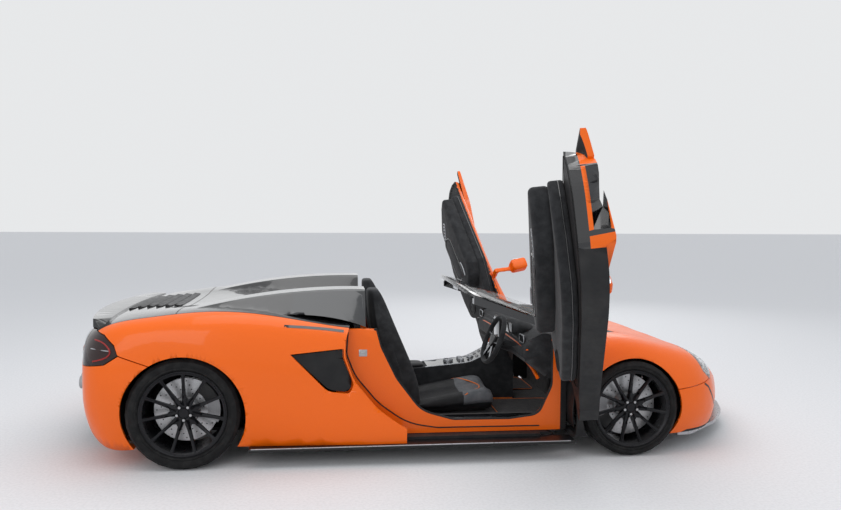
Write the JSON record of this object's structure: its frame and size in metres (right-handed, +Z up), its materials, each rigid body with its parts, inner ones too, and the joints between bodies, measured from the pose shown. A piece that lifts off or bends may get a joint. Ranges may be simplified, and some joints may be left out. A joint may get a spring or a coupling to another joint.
{
  "type": "mid-engined open two-seater sports car with upswinging doors",
  "caption": "Low mid-engined open two-seater car with doors that swing up and out, turning wheels, steering and a lifting bonnet.",
  "frame": {"origin": "bottom centre of the whole's bounding box, on the ground under the middle of the car", "axes": "+X forward, +Y to the car's left, +Z up"},
  "size_m": [4.48, 3.7102, 1.9125],
  "materials": {
    "orange_paint": "gloss metallic-pearl paint with clear coat",
    "black_paint": "gloss black paint",
    "black_plastic": "grained black plastic",
    "carbon_floor": "satin black composite",
    "silver_trim": "satin silver",
    "lamp": "clear polycarbonate",
    "tail_lamp": "dark smoked lens",
    "glass": "clear laminated glass",
    "tyre": "road rubber",
    "rim": "satin black",
    "disc": "machined",
    "metal": "cast",
    "engine": "cast",
    "leather": "black leather and suede",
    "suede": "dark suede-like cloth",
    "carpet": "dark carpet"
  },
  "bodies": {
    "car": {"console": "suede", "dashboard": "suede", "diffuser": "black_plastic", "door_jambs": "orange_paint", "engine": "engine", "engine_deck": "black_paint", "front_bumper": "orange_paint", "front_wings": "orange_paint", "head_lamps": "lamp", "rear_bumper": "orange_paint", "rear_uprights": "metal", "rear_wings": "orange_paint", "scuttle": "black_plastic", "seats": "leather", "side_intakes": "black_plastic", "side_skirts": "black_plastic", "splitter": "silver_trim", "suspension": "metal", "tail_lamps": "tail_lamp", "tonneau": "black_paint", "tub": "carpet", "undertray": "carbon_floor", "wheel_housings": "black_plastic", "windscreen": "glass", "windscreen_frame": "black_paint"},
    "bonnet_lid": {"bonnet": "orange_paint"},
    "front_left_wheel": {"disc_front_left": "disc", "rim_front_left": "rim", "tyre_front_left": "tyre"},
    "front_right_wheel": {"disc_front_right": "disc", "rim_front_right": "rim", "tyre_front_right": "tyre"},
    "rear_left_wheel": {"disc_rear_left": "disc", "rim_rear_left": "rim", "tyre_rear_left": "tyre"},
    "rear_right_wheel": {"disc_rear_right": "disc", "rim_rear_right": "rim", "tyre_rear_right": "tyre"},
    "left_door": {"door_left": "orange_paint", "door_trim_left": "suede", "mirror_left": "orange_paint"},
    "right_door": {"door_right": "orange_paint", "door_trim_right": "suede", "mirror_right": "orange_paint"},
    "left_knuckle": {"knuckle_left": "metal"},
    "right_knuckle": {"knuckle_right": "metal"},
    "hand_wheel": {"steering_wheel": "leather"}
  },
  "joints": [
    {"name": "rear_left_roll", "type": "hinge", "parent": "car", "child": "rear_left_wheel", "pos_m": [-1.47, 0.8, 0.329], "axis": [0, 1, 0], "continuous": true},
    {"name": "rear_right_roll", "type": "hinge", "parent": "car", "child": "rear_right_wheel", "pos_m": [-1.47, -0.8, 0.329], "axis": [0, 1, 0], "continuous": true},
    {"name": "front_left_roll", "type": "hinge", "parent": "left_knuckle", "child": "front_left_wheel", "pos_m": [1.23, 0.8, 0.298], "axis": [0, 1, 0], "continuous": true},
    {"name": "front_right_roll", "type": "hinge", "parent": "right_knuckle", "child": "front_right_wheel", "pos_m": [1.23, -0.8, 0.298], "axis": [0, 1, 0], "continuous": true},
    {"name": "hand_wheel_turn", "type": "hinge", "parent": "car", "child": "hand_wheel", "pos_m": [0.48, -0.362, 0.64], "axis": [0.9272, 0, -0.3746], "range_deg": [-420, 420]},
    {"name": "left_steer", "type": "hinge", "parent": "car", "child": "left_knuckle", "pos_m": [1.23, 0.805, 0.298], "axis": [0, 0, -1], "range_deg": [-28, 28]},
    {"name": "right_steer", "type": "hinge", "parent": "car", "child": "right_knuckle", "pos_m": [1.23, -0.805, 0.298], "axis": [0, 0, -1], "range_deg": [-28, 28]},
    {"name": "right_door_close", "type": "hinge", "parent": "car", "child": "right_door", "pos_m": [0.865, -0.834, 0.68], "axis": [0.436, -0.431, -0.79], "range_deg": [0, 88.5]},
    {"name": "left_door_close", "type": "hinge", "parent": "car", "child": "left_door", "pos_m": [0.865, 0.834, 0.68], "axis": [-0.436, -0.431, 0.79], "range_deg": [0, 88.5]},
    {"name": "bonnet_open", "type": "hinge", "parent": "car", "child": "bonnet_lid", "pos_m": [1.25, 0, 0.705], "axis": [0, -1, 0], "range_deg": [0, 60]}
  ],
  "couplings": [
    {"joint": "left_steer", "follows": "hand_wheel_turn", "ratio": 0.066667},
    {"joint": "right_steer", "follows": "hand_wheel_turn", "ratio": 0.066667}
  ]
}
